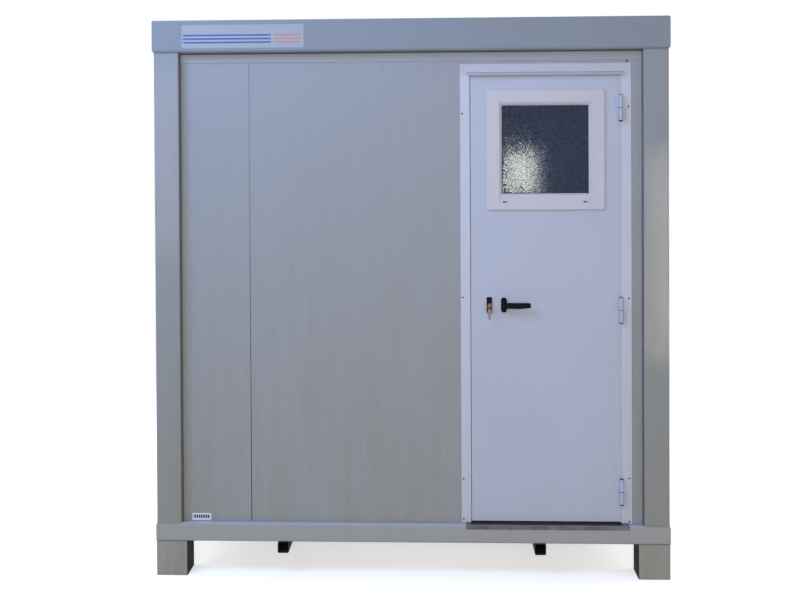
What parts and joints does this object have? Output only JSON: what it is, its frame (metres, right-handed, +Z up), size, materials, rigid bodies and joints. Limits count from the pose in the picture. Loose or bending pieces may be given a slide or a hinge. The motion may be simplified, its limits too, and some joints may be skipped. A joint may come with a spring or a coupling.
{
  "type": "prefabricated toilet cabin",
  "caption": "Steel framed flat-roofed cabin with ribbed sandwich walls, box feet, lift tubes under the floor and an outward opening glazed door with a lever handle.",
  "frame": {"origin": "on the ground under the middle of the cabin", "axes": "+X to the right when facing the door, +Y to the rear, +Z up"},
  "size_m": [2.3, 1.4, 2.49],
  "materials": {
    "tube_paint": "matt black paint",
    "frame_paint": "satin light grey paint",
    "wall_paint": "satin light grey coil coating",
    "ceiling_paint": "satin white coating",
    "galvanised_sheet": "dull zinc coating",
    "floor_covering": "grey smooth floor covering on board",
    "door_paint": "satin white paint",
    "hinge_paint": "satin white coating",
    "threshold_metal": "worn mill finish",
    "window_plastic": "smooth white window plastic",
    "window_glass": "patterned obscure glass",
    "handle_plastic": "satin black",
    "lock_brass": "worn brass"
  },
  "bodies": {
    "cabin": {"roof_beam_front": "frame_paint", "roof_beam_rear": "frame_paint", "roof_beam_left": "frame_paint", "roof_beam_right": "frame_paint", "base_rail_front": "frame_paint", "base_rail_rear": "frame_paint", "base_rail_left": "frame_paint", "base_rail_right": "frame_paint", "corner_post_front_left": "frame_paint", "corner_post_front_right": "frame_paint", "corner_post_rear_right": "frame_paint", "corner_post_rear_left": "frame_paint", "foot_front_left": "frame_paint", "foot_front_right": "frame_paint", "foot_rear_right": "frame_paint", "foot_rear_left": "frame_paint", "lift_tube_left": "tube_paint", "lift_tube_right": "tube_paint", "front_wall_left": "wall_paint", "front_wall_middle": "wall_paint", "front_wall_over_door": "wall_paint", "front_wall_right": "wall_paint", "left_wall_front": "wall_paint", "left_wall_rear": "wall_paint", "right_wall_front": "wall_paint", "right_wall_rear": "wall_paint", "rear_wall_left": "wall_paint", "rear_wall_middle": "wall_paint", "rear_wall_right": "wall_paint", "head_trims": "wall_paint", "ceiling_panel": "ceiling_paint", "roof_sheet": "galvanised_sheet", "underside_pan": "galvanised_sheet", "floor_joists": "galvanised_sheet", "floor_board": "floor_covering", "door_jamb_left": "door_paint", "door_jamb_right": "door_paint", "door_head": "door_paint", "drip_strip": "door_paint", "hinge_frame_halves": "hinge_paint", "threshold": "threshold_metal"},
    "door": {"door_leaf": "door_paint", "window_frame": "window_plastic", "window_bead": "window_plastic", "window_glass": "window_glass", "hinge_leaf_halves": "hinge_paint", "lever_rosettes": "handle_plastic", "lock_plates": "handle_plastic", "lock_cylinder": "lock_brass", "door_key": "lock_brass"},
    "lever": {"lever_handle": "handle_plastic"}
  },
  "joints": [
    {"name": "door_swing", "type": "hinge", "parent": "cabin", "child": "door", "pos_m": [0.937, -0.666, 1.2], "axis": [0, 0, 1], "range_deg": [0, 150]},
    {"name": "lever_turn", "type": "hinge", "parent": "door", "child": "lever", "pos_m": [0.418, -0.632, 1.2115], "axis": [0, 1, 0], "range_deg": [0, 45], "stiffness_Nm_per_rad": 1.5, "springref_deg": -20.05}
  ]
}
